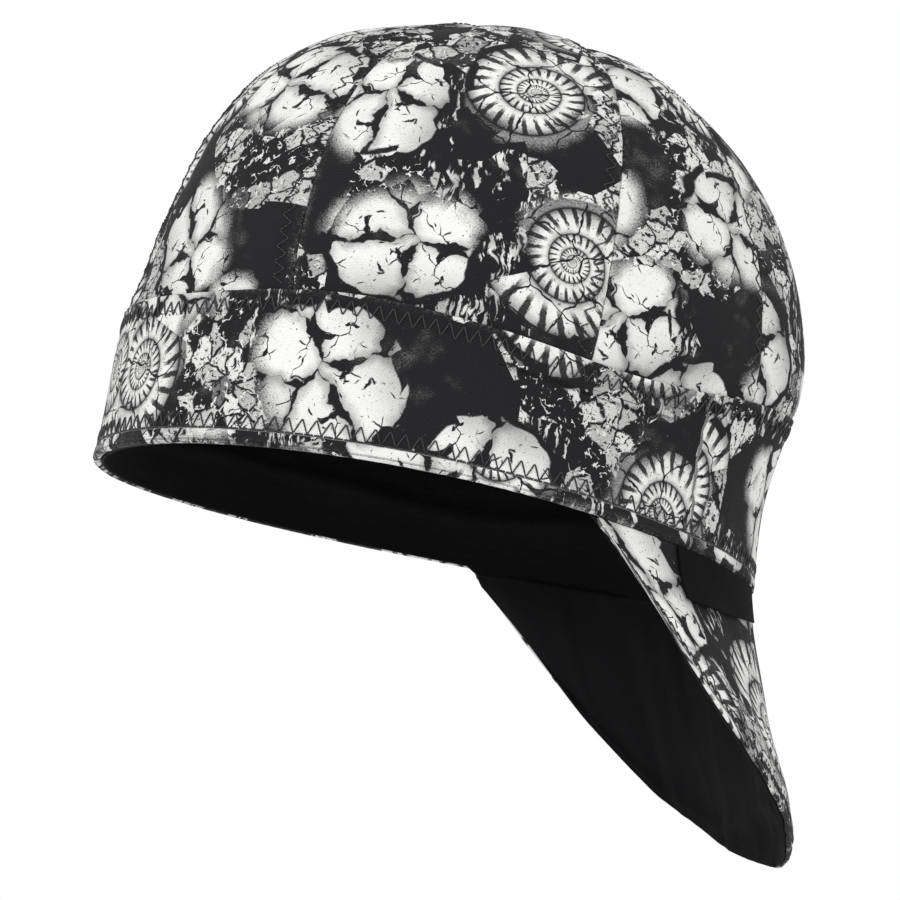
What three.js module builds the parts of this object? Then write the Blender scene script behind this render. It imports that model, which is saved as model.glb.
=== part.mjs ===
import * as THREE from "three";

// Welding cap: an eight-gore cloth crown on a folded headband, lined in black,
// with a long soft bill that hangs behind the neck.
// Millimetres, +Z out of the crown, brow towards -Y, bill towards +Y.
// The origin is the middle of the opening, in the plane of the rim.

// Rim and headband
const headLength = 200;
const headWidth = 176;
const browFullness = 0.12;
const rimArch = 1.4;
const bandHeight = 46.6;
const bandFlareNape = 2.8;
const bandHollowNape = 1.6;
const bandCloth = 1.0;
const hemHeight = 4;
const hemCloth = 1.0;

// Crown
const crownHeight = 151;
const apexBack = 8.5;
const goreCloth = 1.2;
const goreTuck = 6;
const gorePuff = 1.6;
const apexHole = 1.5;

// Lining
const liningCloth = 1.0;
const liningRise = 0.6;

// Bill
const billCornerAngle = 109.4;
const billDrop = 77;
const billReach = 33;
const billWave = 1.8;
const billCloth = 1.2;
const billEdgeTurn = 2.6;
const billTurnMost = 0.3;
const billTurnFace = 0.9;
const billGapMost = 0.1;
const billSeamInset = 0.5;

// Label sewn into the seam of band and bill
const labelWidth = 55;
const labelHeight = 14;
const labelCloth = 0.8;
const labelStartAngle = 127;

// Clearance between layers of cloth, and gap between two gores at their seam
const clearance = 0.3;
const seamGap = 0.36;

// Profile of the crown from the top of the band to the apex, in equal steps along its arc.
// rise is a share of the crown's height over the band.
// brow, ear and nape are shares of the distance from the apex axis to the band.
const crownProfile = [
  { rise: 0, brow: 1, ear: 1, nape: 1 },
  { rise: 0.12, brow: 0.977, ear: 1, nape: 1 },
  { rise: 0.25, brow: 0.958, ear: 0.985, nape: 0.976 },
  { rise: 0.38, brow: 0.929, ear: 0.96, nape: 0.943 },
  { rise: 0.5, brow: 0.898, ear: 0.92, nape: 0.888 },
  { rise: 0.62, brow: 0.846, ear: 0.855, nape: 0.808 },
  { rise: 0.73, brow: 0.774, ear: 0.765, nape: 0.7 },
  { rise: 0.83, brow: 0.664, ear: 0.65, nape: 0.565 },
  { rise: 0.9, brow: 0.495, ear: 0.52, nape: 0.44 },
  { rise: 0.955, brow: 0.335, ear: 0.36, nape: 0.297 },
  { rise: 0.99, brow: 0.14, ear: 0.15, nape: 0.136 },
  { rise: 1, brow: 0, ear: 0, nape: 0 },
];

// Top edge of the headband from the brow to the nape.
// degrees is the place on the rim, height is a share of bandHeight.
const bandTop = [
  { degrees: 0, height: 0.93 },
  { degrees: 30, height: 0.93 },
  { degrees: 60, height: 1 },
  { degrees: 85, height: 0.965 },
  { degrees: 112, height: 0.915 },
  { degrees: 142, height: 1.04 },
  { degrees: 180, height: 1.15 },
];

// Crown seams on one side of the cap, the other side is their mirror image.
// degrees is the place on the rim, from the brow; lean bends the seam at mid height.
const crownSeams = [
  { degrees: 0, lean: 0 },
  { degrees: 49.5, lean: -3 },
  { degrees: 102.5, lean: 1 },
  { degrees: 139.5, lean: 0 },
  { degrees: 180, lean: 0 },
];

// Free edge of the bill from its tip to its corner.
// across is a share of the way from the nape to the corner along the rim.
// drop is a share of billDrop, back and out are shares of billReach.
const billEdge = [
  { across: 0, drop: 1, back: 0.88, out: 0 },
  { across: 0.3, drop: 0.97, back: 0.88, out: -0.04 },
  { across: 0.5, drop: 0.875, back: 0.96, out: -0.05 },
  { across: 0.7, drop: 0.75, back: 1.02, out: -0.06 },
  { across: 0.85, drop: 0.56, back: 0.89, out: -0.08 },
  { across: 0.95, drop: 0.33, back: 0.63, out: -0.05 },
  { across: 1, drop: 0.09, back: 0.2, out: 0 },
];

// Mesh density
const goreColumns = 7;
const goreRows = 14;
const bandRows = 4;
const billColumns = 30;
const billRows = 7;
const labelColumns = 8;
const labelRows = 2;

const printCloth = { color: 0x2b2b2f, roughness: 0.9, metalness: 0 };
const blackCloth = { color: 0x101012, roughness: 0.92, metalness: 0 };
const labelClothLook = { color: 0x0c0c0e, roughness: 0.7, metalness: 0 };

const radians = (degrees) => THREE.MathUtils.degToRad(degrees);
const mix = THREE.MathUtils.lerp;

// Smooth value of a table column at a share 0 to 1 of its rows
function alongRows(table, column, share) {
  const last = table.length - 1;
  const at = THREE.MathUtils.clamp(share, 0, 1) * last;
  const i = Math.min(Math.floor(at), last - 1);
  const f = at - i;
  const value = (k) => {
    if (k < 0) return 2 * table[0][column] - table[1][column];
    if (k > last) return 2 * table[last][column] - table[last - 1][column];
    return table[k][column];
  };
  const [a, b, c, d] = [value(i - 1), value(i), value(i + 1), value(i + 2)];
  const slope = (c - a) / 2;
  const nextSlope = (d - b) / 2;
  const bend = 3 * (c - b) - 2 * slope - nextSlope;
  const turn = 2 * (b - c) + slope + nextSlope;
  return b + slope * f + bend * f * f + turn * f * f * f;
}

// Smooth value of a table column, looked up by its key column
function byKey(table, key, column, at) {
  const last = table.length - 1;
  let i = 0;
  while (i < last - 1 && table[i + 1][key] < at) i += 1;
  const slope = (k) => {
    const low = table[Math.max(k - 1, 0)];
    const high = table[Math.min(k + 1, last)];
    return (high[column] - low[column]) / (high[key] - low[key]);
  };
  const width = table[i + 1][key] - table[i][key];
  const f = (at - table[i][key]) / width;
  const start = table[i][column];
  const end = table[i + 1][column];
  const [slopeStart, slopeEnd] = [slope(i) * width, slope(i + 1) * width];
  const bend = 3 * (end - start) - 2 * slopeStart - slopeEnd;
  const turn = 2 * (start - end) + slopeStart + slopeEnd;
  return start + slopeStart * f + bend * f * f + turn * f * f * f;
}

// Plan of the rim: a fuller brow and a narrower nape; t runs from the brow round the +X side
function rimPlan(t) {
  const x = (headWidth / 2) * Math.sin(t) * (1 + browFullness * Math.cos(t));
  const y = -(headLength / 2) * Math.cos(t);
  return new THREE.Vector2(x, y);
}

function rimZ(t) {
  return -rimArch * Math.cos(2 * t);
}

function bandTopZ(t) {
  const degrees = THREE.MathUtils.radToDeg(Math.acos(Math.cos(t)));
  return bandHeight * byKey(bandTop, "degrees", "height", degrees);
}

// Outer surface of the cap: h from 0 to 1 is the headband, from 1 to 2 the crown up to its apex
function capSurface(t, h) {
  const bandShare = THREE.MathUtils.clamp(h, 0, 1);
  const napeShare = (1 - Math.cos(t)) / 2;
  const flare = bandFlareNape * bandShare ** 4;
  const hollow = bandHollowNape * Math.sin(Math.PI * bandShare) ** 2;
  const plan = rimPlan(t).multiplyScalar(1 + ((flare - hollow) * napeShare) / (headLength / 2));
  if (h <= 1) {
    return new THREE.Vector3(plan.x, plan.y, mix(rimZ(t), bandTopZ(t), h));
  }
  const profile = (column) => alongRows(crownProfile, column, h - 1);
  const middle = mix(profile("nape"), profile("brow"), (1 + Math.cos(t)) / 2);
  const spread = mix(profile("ear"), middle, Math.cos(t) ** 2);
  const rise = profile("rise");
  const x = plan.x * spread;
  const y = apexBack + (plan.y - apexBack) * spread;
  return new THREE.Vector3(x, y, mix(bandTopZ(t), crownHeight, rise));
}

// Point at a depth behind a surface, along its normal
function behind(surface, a, b, depth) {
  const step = 0.002;
  const alongA = surface(a + step, b).sub(surface(a - step, b));
  const alongB = surface(a, b + step).sub(surface(a, b - step));
  const normal = alongA.cross(alongB).normalize();
  return surface(a, b).addScaledVector(normal, -depth);
}

// Triangles between two rows of vertex numbers
function stitchRows(index, low, high, closed) {
  const count = closed ? low.length : low.length - 1;
  for (let i = 0; i < count; i += 1) {
    const next = (i + 1) % low.length;
    index.push(low[i], low[next], high[next]);
    index.push(low[i], high[next], high[i]);
  }
}

function meshFrom(points, index, name, look) {
  const geometry = new THREE.BufferGeometry();
  geometry.setFromPoints(points);
  geometry.setIndex(index);
  geometry.computeVertexNormals();
  const mesh = new THREE.Mesh(geometry, new THREE.MeshStandardMaterial(look));
  mesh.name = name;
  return mesh;
}

// Closed patch of cloth from rows of outer points and rows of inner points
function clothPatch(outerRows, innerRows, name, look) {
  const points = [];
  const number = (rows) => rows.map((row) => row.map((point) => points.push(point) - 1));
  const outer = number(outerRows);
  const inner = number(innerRows);
  const index = [];
  for (let j = 0; j < outer.length - 1; j += 1) {
    stitchRows(index, outer[j], outer[j + 1], false);
    stitchRows(index, inner[j + 1], inner[j], false);
  }
  const top = outer.length - 1;
  const right = outer[0].length - 1;
  stitchRows(index, inner[0], outer[0], false);
  stitchRows(index, outer[top], inner[top], false);
  const column = (rows, i) => rows.map((row) => row[i]);
  stitchRows(index, column(outer, 0), column(inner, 0), false);
  stitchRows(index, column(inner, right), column(outer, right), false);
  return meshFrom(points, index, name, look);
}

// Angle of a crown seam at height h: its place on the rim and a slight lean at mid height
function seamAngle(seam, h) {
  const lean = seam.lean * Math.sin(Math.PI * THREE.MathUtils.clamp(h - 1, 0, 1));
  return radians(seam.degrees + lean);
}

// Height h on the crown where its plan has shrunk to the small hole at the apex
function apexStart() {
  const reach = apexHole / (headWidth / 2);
  const step = 0.001;
  let h = 2;
  while (alongRows(crownProfile, "brow", h - 1) < reach) h -= step;
  return h;
}

// Heights of the rows of a gore: the first is tucked behind the band, the last is at the apex
function goreHeight(t, row) {
  if (row === 0) return 1 - goreTuck / (bandTopZ(t) - rimZ(t));
  return mix(1, apexStart(), (row - 1) / (goreRows - 1));
}

// Angles of the columns of a gore at one height, across from one seam to the next
function goreAngle(gore, h, across) {
  return mix(seamAngle(gore.from, h), seamAngle(gore.to, h), across);
}

// One gore between two seams, puffed out between them
function crownGore(gore, name, mirrored) {
  const outer = [];
  const inner = [];
  const side = mirrored ? -1 : 1;
  for (let row = 0; row <= goreRows; row += 1) {
    const outerRow = [];
    const innerRow = [];
    for (let i = 0; i <= goreColumns; i += 1) {
      const level = goreHeight(radians(gore.from.degrees), row);
      const ends = [0, 1].map((end) => capSurface(side * goreAngle(gore, level, end), level));
      const margin = seamGap / 2 / ends[0].distanceTo(ends[1]);
      const across = THREE.MathUtils.clamp(i / goreColumns, margin, 1 - margin);
      const t = side * goreAngle(gore, level, across);
      const h = goreHeight(t, row);
      const puffed = Math.sin(Math.PI * THREE.MathUtils.clamp(h - 1, 0, 1));
      const puff = gorePuff * puffed * Math.sin((Math.PI * i) / goreColumns);
      const depth = bandCloth + clearance - puff;
      outerRow.push(behind(capSurface, t, h, depth));
      innerRow.push(behind(capSurface, t, h, depth + goreCloth));
    }
    outer.push(mirrored ? outerRow.reverse() : outerRow);
    inner.push(mirrored ? innerRow.reverse() : innerRow);
  }
  return clothPatch(outer, inner, name, printCloth);
}

// Angles round the whole cap at one height, in step with the columns of the gores
function anglesRound(gores, h) {
  const half = [];
  gores.forEach((gore) => {
    for (let i = 0; i < goreColumns; i += 1) half.push(goreAngle(gore, h, i / goreColumns));
  });
  const mirrored = half.slice(1).map((t) => 2 * Math.PI - t).reverse();
  return [...half, Math.PI, ...mirrored];
}

// Headband: one strip with a narrow hem folded up inside it at the rim
function headband(gores) {
  const hemOuter = bandCloth + clearance;
  const hemInner = hemOuter + hemCloth;
  const round = bandCloth / 2;
  const section = (t) => {
    const full = bandTopZ(t) - rimZ(t);
    const at = (depth, rise) => behind(capSurface, t, rise / full, depth);
    const rises = Array.from({ length: bandRows }, (_, row) => ((row + 1) / bandRows) * full);
    return [
      at(0, round),
      ...rises.map((rise) => at(0, rise)),
      ...rises.reverse().map((rise) => at(bandCloth, rise)),
      at(bandCloth, bandCloth),
      at(hemOuter, bandCloth),
      at(hemOuter, hemHeight),
      at(hemInner, hemHeight),
      at(hemInner, round),
      at(hemInner - round, 0),
      at(round, 0),
    ];
  };
  const points = [];
  const numbered = (point) => points.push(point) - 1;
  const loops = anglesRound(gores, 0).map((t) => section(t).map(numbered));
  const index = [];
  loops.forEach((loop, i) => {
    stitchRows(index, loops[(i + 1) % loops.length], loop, true);
  });
  return meshFrom(points, index, "headband", printCloth);
}

// Lining of crown and band in one shell, its lower edge laid over the hem
function capLining(gores) {
  const points = [];
  const index = [];
  const depth = bandCloth + clearance + Math.max(goreCloth, hemCloth) + clearance;
  const rimStart = (t) => liningRise / (bandTopZ(t) - rimZ(t));
  const levels = [rimStart, (t) => (rimStart(t) + goreHeight(t, 0)) / 2];
  for (let row = 0; row <= goreRows; row += 1) {
    levels.push((t) => goreHeight(t, row));
  }
  const ring = (height, behindBy) => {
    const angles = anglesRound(gores, height(Math.PI / 2));
    return angles.map((t) => points.push(behind(capSurface, t, height(t), behindBy)) - 1);
  };
  const outer = levels.map((height) => ring(height, depth));
  const inner = levels.map((height) => ring(height, depth + liningCloth));
  const apex = (below) => points.push(new THREE.Vector3(0, apexBack, crownHeight - below)) - 1;
  const outerApex = apex(depth);
  const innerApex = apex(depth + liningCloth);
  const last = levels.length - 1;
  for (let row = 0; row < last; row += 1) {
    stitchRows(index, outer[row], outer[row + 1], true);
    stitchRows(index, inner[row + 1], inner[row], true);
  }
  stitchRows(index, inner[0], outer[0], true);
  outer[last].forEach((number, i) => {
    const next = (i + 1) % outer[last].length;
    index.push(number, outer[last][next], outerApex);
    index.push(inner[last][next], inner[last][i], innerApex);
  });
  return meshFrom(points, index, "cap_lining", blackCloth);
}

// Outer surface of the bill: across from -1 to 1 over the nape, down from 0 at the rim to 1 at its edge
function billSurface(across, down) {
  const t = Math.PI - across * (Math.PI - radians(billCornerAngle));
  const seam = behind(capSurface, t, 0, billSeamInset);
  seam.z = rimZ(t) - clearance;
  const at = Math.abs(across);
  const edge = seam.clone();
  edge.x += Math.sign(across) * billReach * byKey(billEdge, "across", "out", at);
  edge.y += billReach * byKey(billEdge, "across", "back", at);
  edge.z -= billDrop * byKey(billEdge, "across", "drop", at);
  const point = seam.clone().lerp(edge, down);
  const length = seam.distanceTo(edge);
  const wave = -billWave * Math.sin(2 * Math.PI * down) * Math.min(1, length / billDrop);
  const outward = rimPlan(t).normalize();
  point.x += outward.x * wave;
  point.y += outward.y * wave;
  return point;
}

function billLength(across) {
  return billSurface(across, 0).distanceTo(billSurface(across, 1));
}

// Patch of the bill from rows of down shares; each row gives its outer and inner depth
function billPatch(name, look, rows) {
  const outer = [];
  const inner = [];
  rows.forEach(({ down, from, to }) => {
    const outerRow = [];
    const innerRow = [];
    for (let i = 0; i <= billColumns; i += 1) {
      const across = mix(-1, 1, i / billColumns);
      const share = down(billLength(across));
      outerRow.push(behind(billSurface, across, share, from));
      innerRow.push(behind(billSurface, across, share, to));
    }
    outer.push(outerRow);
    inner.push(innerRow);
  });
  return clothPatch(outer, inner, name, look);
}

// Share of the bill's length, from rim to edge, that its turned edge takes
function billTurnShare(length) {
  return Math.min(billEdgeTurn / length, billTurnMost);
}

// Printed face of the bill, its edge turned in round the lining
function billShell() {
  const turned = billCloth + clearance + liningCloth;
  const rows = [];
  for (let j = 0; j <= billRows; j += 1) {
    const share = j / billRows;
    rows.push({ down: (length) => share * (1 - billTurnShare(length)), from: 0, to: billCloth });
  }
  rows.push({ down: (length) => 1 - billTurnFace * billTurnShare(length), from: 0, to: turned });
  rows.push({ down: () => 1, from: billCloth / 2, to: turned - billCloth / 2 });
  return billPatch("bill_shell", printCloth, rows);
}

// Lining of the bill, behind the printed face and short of its turned edge
function billLining() {
  const outerDepth = billCloth + clearance;
  const rows = [];
  for (let j = 0; j <= billRows; j += 1) {
    const share = j / billRows;
    const down = (length) => {
      return share * (1 - billTurnShare(length) - Math.min(clearance / length, billGapMost));
    };
    rows.push({ down, from: outerDepth, to: outerDepth + liningCloth });
  }
  return billPatch("bill_lining", blackCloth, rows);
}

// Woven label on the printed face of the bill, just under the seam
function wovenLabel() {
  const start = (180 - labelStartAngle) / (180 - billCornerAngle);
  const outer = [];
  const inner = [];
  const probe = 0.1;
  const arc = billSurface(start, 0).distanceTo(billSurface(start - probe, 0)) / probe;
  const end = start - labelWidth / arc;
  for (let j = 0; j <= labelRows; j += 1) {
    const outerRow = [];
    const innerRow = [];
    for (let i = 0; i <= labelColumns; i += 1) {
      const across = mix(end, start, i / labelColumns);
      const down = (clearance + (labelHeight * j) / labelRows) / billLength(across);
      outerRow.push(behind(billSurface, across, down, -clearance - labelCloth));
      innerRow.push(behind(billSurface, across, down, -clearance));
    }
    outer.push(outerRow);
    inner.push(innerRow);
  }
  return clothPatch(outer, inner, "woven_label", labelClothLook);
}

const gores = crownSeams.slice(1).map((to, i) => ({ from: crownSeams[i], to }));
const cap = new THREE.Group();
cap.name = "welding_cap";
gores.forEach((gore, i) => {
  cap.add(crownGore(gore, `crown_gore_${i + 1}`, false));
  cap.add(crownGore(gore, `crown_gore_${2 * gores.length - i}`, true));
});
cap.add(headband(gores));
cap.add(capLining(gores));
cap.add(billShell());
cap.add(billLining());
cap.add(wovenLabel());

export default cap;
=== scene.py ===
import math

import bpy
import numpy as np
from mathutils import Matrix, Vector


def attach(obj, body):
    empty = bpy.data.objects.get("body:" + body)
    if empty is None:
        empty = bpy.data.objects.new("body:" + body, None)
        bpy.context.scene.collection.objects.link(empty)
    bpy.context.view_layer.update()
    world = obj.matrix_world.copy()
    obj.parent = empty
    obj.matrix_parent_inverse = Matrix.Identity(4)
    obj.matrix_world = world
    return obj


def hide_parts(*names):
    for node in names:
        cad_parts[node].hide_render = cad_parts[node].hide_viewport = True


# Looks of a lined cloth welding cap. The surfaces are worked out in millimetres, in the frame of
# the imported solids: +Z out of the crown, -Y the brow, +Y the bill; meshes are made in metres.
MM = 0.001
BODY = "root"
LEAST_FILL = 0.3
FULL_TURN = 2 * math.pi

# Rim, band and crown
HEAD_LENGTH = 200.0
HEAD_WIDTH = 176.0
BROW_FULLNESS = 0.12
RIM_ARCH = 1.4
BAND_HEIGHT = 46.6
BAND_FLARE_NAPE = 2.8
BAND_HOLLOW_NAPE = 1.6
BAND_CLOTH = 1.0
HEM_HEIGHT = 4.0
CROWN_HEIGHT = 151.0
APEX_BACK = 8.5
GORE_CLOTH = 1.2
GORE_TUCK = 6.0
GORE_PUFF = 1.6
LINING_CLOTH = 1.0
LINING_RISE = 0.3
LINING_BELOW = -2.2
CLEARANCE = 0.3
SEAM_GAP = 0.1

# Bill and label
BILL_CORNER = 109.4
BILL_DROP = 77.0
BILL_REACH = 33.0
BILL_WAVE = 1.8
BILL_NAPE_HOLLOW = 3.7
TIP_CURL = 2.8
TIP_CURL_WIDTH = 12
BILL_CLOTH = 1.2
BILL_LINING_SHORT = 0.45
TIP_FOLD = 60
BILL_SEAM_INSET = 0.5
LABEL_WIDTH = 55.0
LABEL_HEIGHT = 14.0
LABEL_CLOTH = 0.7
LABEL_START = 127.0
LABEL_NEAR_HEIGHT = 19.5
LABEL_FAR_HEIGHT = 11.5
LABEL_SLANT = 3.4

# Crown from the band to the apex in equal steps: rise is a share of its height,
# brow, ear and nape are shares of the band's distance from the apex axis
CROWN = {
    "rise": (0, 0.12, 0.25, 0.38, 0.5, 0.62, 0.73, 0.83, 0.9, 0.955, 0.99, 1),
    "brow": (1, 0.977, 0.958, 0.929, 0.898, 0.846, 0.774, 0.664, 0.495, 0.335, 0.14, 0),
    "ear": (1, 1, 0.985, 0.96, 0.92, 0.855, 0.765, 0.65, 0.52, 0.36, 0.15, 0),
    "nape": (1, 1, 0.976, 0.943, 0.888, 0.808, 0.7, 0.565, 0.44, 0.297, 0.136, 0),
}

# Top edge of the band: degrees round the rim from the brow, height as a share of BAND_HEIGHT
BAND_TOP = {
    "degrees": (0, 30, 60, 85, 112, 142, 180),
    "height": (0.93, 0.93, 1, 0.965, 0.915, 1.04, 1.15),
}

# Crown seams of one side: degrees on the rim, lean at mid height
SEAMS = ((0, 0), (49.5, -3), (102.5, 1), (139.5, 0), (180, 0))

# Free edge of the bill from its tip to its corner, in shares of BILL_DROP and BILL_REACH
BILL_EDGE = {
    "across": (0, 0.3, 0.5, 0.7, 0.85, 0.95, 1),
    "drop": (0.985, 0.94, 0.858, 0.738, 0.555, 0.33, 0.06),
    "back": (0.88, 0.88, 0.96, 1.02, 0.89, 0.63, 0.12),
    "out": (0, -0.04, -0.05, -0.06, -0.08, -0.05, 0),
}

# Stitching: width and length of one zigzag, and how far its middle is from its edge
THREAD_RADIUS = 0.23
CROWN_ZIGZAG = {"width": 3.3, "pitch": 5.0, "from_edge": 4.6, "steps": 3}
BAND_TOP_ZIGZAG = {"width": 4.4, "pitch": 4.0, "from_edge": 4.2, "steps": 1}
BAND_RIM_ZIGZAG = {"width": 4.4, "pitch": 4.2, "from_edge": 6.8, "steps": 1}
BILL_ZIGZAG = {"width": 3.0, "pitch": 3.6, "from_edge": 5.4, "steps": 1}
BAND_BINDING = 4.4
BILL_BINDING = 3.6
BILL_LINING_REACH = 0.995

# Slanted join of the band's two ends on the +X side: degrees at the rim and at the top
BAND_JOIN = (131.0, 127.5)
JOIN_RIDGE_OFFSET = 3.2

# Slack folds, in layers: height and size in millimetres, and seed. Crown, band and lining share
# the first.
CAP_FOLDS = ((0.9, 46, 11), (0.45, 21, 12), (0.16, 9, 13))
BILL_FOLDS = ((1.5, 17, 51), (0.45, 7.5, 52))
BILL_LINING_FOLDS = ((2.2, 15, 71), (0.8, 6.5, 72))

# Puckers beside seams: height in millimetres, and shares of a seam's own size of pucker
PUCKER_HEIGHT = 0.42
PUCKER_STRETCH = 0.35
PUCKER_WIDTH = 0.55

# Lines along seams and stitching: height and width in millimetres, sunk where under 0
RIDGES = {
    "crown_seam": (-0.55, 2.4),
    "crown_zigzag": (-0.3, 1.9),
    "band_zigzag": (-0.3, 2.6),
    "band_binding_seam": (-0.32, 0.55),
    "band_binding": (0.35, 2.2),
    "band_join": (-0.6, 1.1),
    "band_join_ridge": (0.25, 2.6),
    "bill_zigzag": (-0.35, 1.9),
    "bill_binding_seam": (-0.25, 0.5),
    "bill_binding": (0.15, 1.7),
}
SEAM_ALLOWANCE = 0.45
ALLOWANCE_REACH = ((0.6, 1.8), (9.2, 7.6))
FOOT_FULLNESS = 0.5
FOOT_FULLNESS_NAPE = 0.7
FOOT_REACH = ((0.985, 1.03), (1.4, 1.1))
WEAR_WIDTH = 1.2

# Meshes: last row and last measured normal below the apex, and samples round the band
LAST_ROW = 1.9985
LAST_NORMAL = 1.995
ROUND_SAMPLES = 2000

# Camera at the photograph's viewing angle
CAMERA_AZIMUTH = 79.19
CAMERA_ELEVATION = -8.38
CAMERA_ROLL = 11.17
CAMERA_DISTANCE = 1.4
CAMERA_LENS = 188.5
CAMERA_SENSOR = 36.0
CAMERA_CLIP = (0.05, 50)
PICTURE_SIDE = 900
ORIGIN_PIXEL = (426.9, 523.8)
LIGHT_TARGET = (0, 0.02, 0.04)

# Colours of the cloths, linear
INK_BLACK = (0.0088, 0.0088, 0.0102, 1)
BONE_WHITE = (0.7, 0.7, 0.69, 1)
LINING_BLACK = (0.0028, 0.0028, 0.0033, 1)
LABEL_BLACK = (0.0022, 0.0022, 0.0026, 1)
THREAD_BLACK = (0.008, 0.008, 0.009, 1)
FLOOR_PALE = (0.95, 0.95, 0.95, 1)


def unit(vectors):
    return vectors / np.maximum(np.linalg.norm(vectors, axis=-1, keepdims=True), 1e-12)


def mix(a, b, share):
    return a + (b - a) * share


def smooth_step(value, low, high):
    share = np.clip((value - low) / (high - low), 0, 1)
    return share * share * (3 - 2 * share)


def between(value, start, end):
    """1 between the steps at the start and the end, 0 outside them"""
    return smooth_step(value, *start) * smooth_step(value, *end)


def bump_at(distance, width):
    """1 where distance is 0, fading to 0 over about width"""
    return np.exp(-((distance / width) ** 2))


def by_key(keys, values, at):
    """Smooth value at a place between the keys of a short table"""
    keys, values, at = np.array(keys, float), np.array(values, float), np.asarray(at, float)
    last = len(keys) - 1
    order = np.arange(last + 1)
    low, high = np.maximum(order - 1, 0), np.minimum(order + 1, last)
    slopes = (values[high] - values[low]) / (keys[high] - keys[low])
    i = np.clip(np.searchsorted(keys, at) - 1, 0, last - 1)
    width = keys[i + 1] - keys[i]
    f = (at - keys[i]) / width
    rise, start, end = values[i + 1] - values[i], slopes[i] * width, slopes[i + 1] * width
    bend, turn = 3 * rise - 2 * start - end, start + end - 2 * rise
    return values[i] + start * f + bend * f**2 + turn * f**3


def noise(points, size, seed):
    """Smooth noise from -1 to 1 with features about size millimetres wide"""
    side, shift = 24, 500.5
    lattice = np.random.default_rng(seed).uniform(-1, 1, (side, side, side))
    place = np.asarray(points) / size + shift
    cell = np.floor(place).astype(int)
    f = place - cell
    f = f * f * (3 - 2 * f)
    total = np.zeros(place.shape[:-1])
    for corner in np.ndindex(2, 2, 2):
        weight = np.prod(np.where(np.array(corner) == 1, f, 1 - f), axis=-1)
        index = (cell + corner) % side
        total += weight * lattice[index[..., 0], index[..., 1], index[..., 2]]
    return total


def ridge(name, distance):
    """Raised or sunk line along a seam or stitching, from the table of ridges"""
    height, width = RIDGES[name]
    return height * bump_at(distance, width)


def folds(points, layers):
    """Sum of noises, each given by its height, size and seed"""
    return sum(height * noise(points, size, seed) for height, size, seed in layers)


def path_length(points):
    """Length of a path from its start to each of its points"""
    steps = np.linalg.norm(np.diff(points, axis=0), axis=1)
    return np.concatenate([[0], np.cumsum(steps)])


def signed(t):
    """The same angles, those past half a turn counted back from 0"""
    return np.where(t > math.pi, t - FULL_TURN, t)


# Base surfaces, in millimetres


def rim_plan(t):
    x = HEAD_WIDTH / 2 * np.sin(t) * (1 + BROW_FULLNESS * np.cos(t))
    return x, -HEAD_LENGTH / 2 * np.cos(t)


def rim_z(t):
    return -RIM_ARCH * np.cos(2 * t)


def band_top_z(t):
    degrees = np.degrees(np.arccos(np.clip(np.cos(t), -1, 1)))
    return BAND_HEIGHT * by_key(BAND_TOP["degrees"], BAND_TOP["height"], degrees)


def band_height(t):
    return band_top_z(t) - rim_z(t)


def cap_surface(t, h):
    """Outer surface of the cap: h from 0 to 1 is the band, from 1 to 2 the crown to its apex"""
    t, h = np.broadcast_arrays(np.asarray(t, float), np.asarray(h, float))
    band, along = np.clip(h, 0, 1), np.clip(h - 1, 0, 1)
    brow_share = (1 + np.cos(t)) / 2
    pull = BAND_FLARE_NAPE * band**4 - BAND_HOLLOW_NAPE * np.sin(np.pi * band) ** 2
    scale = 1 + pull * (1 - brow_share) / (HEAD_LENGTH / 2)
    x, y = rim_plan(t)
    x, y = x * scale, y * scale
    steps = np.linspace(0, 1, len(CROWN["rise"]))
    share = {key: by_key(steps, values, along) for key, values in CROWN.items()}
    middle = mix(share["nape"], share["brow"], brow_share)
    spread = mix(share["ear"], middle, np.cos(t) ** 2)
    low, top = rim_z(t), band_top_z(t)
    # Below the rim, where h is under 0, the band keeps its slope
    band_z = mix(low, top, np.minimum(h, 1))
    crown_z = mix(top, CROWN_HEIGHT, share["rise"])
    x = np.where(h <= 1, x, x * spread)
    y = np.where(h <= 1, y, APEX_BACK + (y - APEX_BACK) * spread)
    return np.stack([x, y, np.where(h <= 1, band_z, crown_z)], axis=-1)


def bill_surface(across, down):
    """Outer surface of the bill: across from -1 to 1 over the nape, down from rim 0 to edge 1"""
    across, down = np.broadcast_arrays(np.asarray(across, float), np.asarray(down, float))
    t = np.pi - across * (np.pi - math.radians(BILL_CORNER))
    seam = cap_surface(t, 0) - normal_of(cap_surface, t, 0) * BILL_SEAM_INSET
    seam[..., 2] = rim_z(t) - CLEARANCE
    at = np.clip(np.abs(across), 0, 1)
    column = {key: by_key(BILL_EDGE["across"], BILL_EDGE[key], at) for key in ("drop", "back", "out")}
    edge = seam.copy()
    edge[..., 0] += np.sign(across) * BILL_REACH * column["out"]
    edge[..., 1] += BILL_REACH * column["back"]
    edge[..., 2] -= BILL_DROP * column["drop"]
    length = np.linalg.norm(edge - seam, axis=-1)
    point = mix(seam, edge, down[..., None])
    wave = -BILL_WAVE * np.sin(2 * np.pi * down) * np.minimum(1, length / BILL_DROP)
    outward = unit(np.stack([*rim_plan(t), np.zeros_like(t)], axis=-1))
    return point + outward * wave[..., None]


def normal_of(surface, a, b):
    step = 0.002
    along_a = surface(a + step, b) - surface(a - step, b)
    along_b = surface(a, b + step) - surface(a, b - step)
    return unit(np.cross(along_a, along_b))


def speed(surface, a, b):
    """Millimetres that a point moves for each unit of the first parameter"""
    step = 0.002
    return np.linalg.norm(surface(a + step, b) - surface(a - step, b), axis=-1) / (2 * step)


# Folds, seams and puckers, as heights over the base surfaces


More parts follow.
